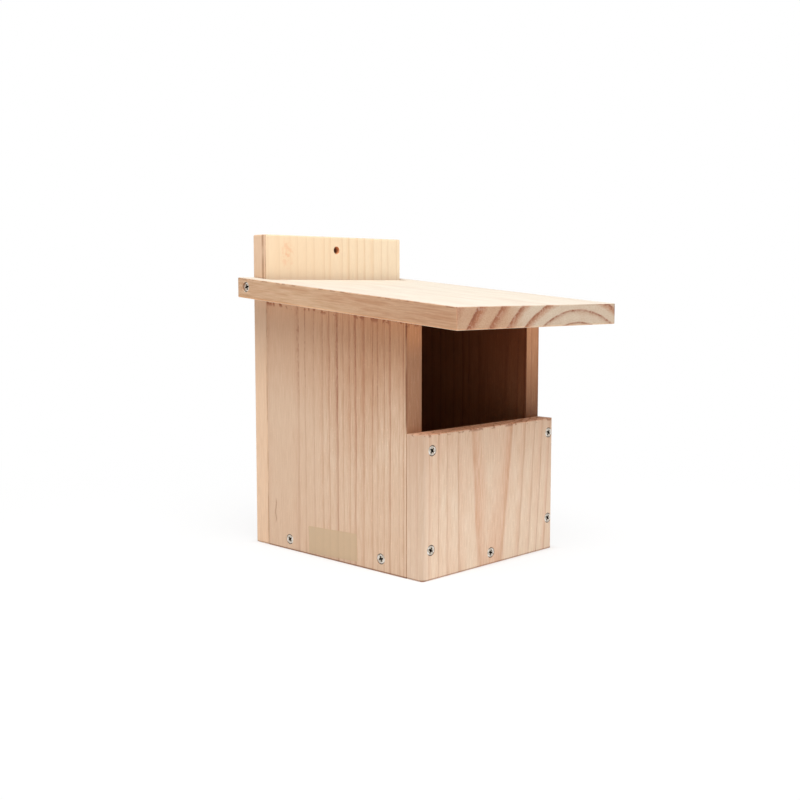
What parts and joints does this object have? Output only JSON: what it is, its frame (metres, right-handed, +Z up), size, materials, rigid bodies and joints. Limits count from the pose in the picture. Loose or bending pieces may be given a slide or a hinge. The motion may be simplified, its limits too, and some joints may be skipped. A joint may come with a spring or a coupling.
{
  "type": "bird nest box",
  "caption": "Open-fronted wooden nest box with a sloping roof that swings up on pivot screws and a tall back board with a hanging hole.",
  "frame": {"origin": "middle of the footprint, roof overhang included, on the surface that the box stands on", "axes": "+Z up along the back board, +Y towards the wall that the box hangs on, +X to the right seen from the front"},
  "size_m": [0.175, 0.221, 0.238],
  "materials": {
    "back_wood": "planed softwood, pale cream yellow",
    "side_wood": "planed softwood, pale pinkish tan with upright reddish grain",
    "front_wood": "planed softwood, pale tan with reddish grain arches",
    "floor_wood": "planed softwood, darker inside face",
    "roof_wood": "planed softwood, pale cream with end grain on its front edge",
    "label_film": "bare matt adhesive label",
    "screw_zinc": "bright zinc plated"
  },
  "bodies": {
    "box": {"back_board": "back_wood", "left_side_panel": "side_wood", "right_side_panel": "side_wood", "front_panel": "front_wood", "floor_board": "floor_wood", "blank_label": "label_film", "front_screw_upper_left": "screw_zinc", "front_screw_upper_right": "screw_zinc", "front_screw_lower_left": "screw_zinc", "front_screw_lower_right": "screw_zinc", "front_screw_floor": "screw_zinc", "left_screw_front": "screw_zinc", "left_screw_rear": "screw_zinc", "right_screw_front": "screw_zinc", "right_screw_rear": "screw_zinc", "back_screw_left_low": "screw_zinc", "back_screw_left_mid": "screw_zinc", "back_screw_left_high": "screw_zinc", "back_screw_right_low": "screw_zinc", "back_screw_right_mid": "screw_zinc", "back_screw_right_high": "screw_zinc", "back_screw_floor": "screw_zinc", "pivot_screw_left": "screw_zinc", "pivot_screw_right": "screw_zinc"},
    "roof": {"roof_board": "roof_wood"}
  },
  "joints": [
    {"name": "roof_swing", "type": "hinge", "parent": "box", "child": "roof", "pos_m": [0, 0.101, 0.19843], "axis": [-1, 0, 0], "range_deg": [0, 40]}
  ]
}
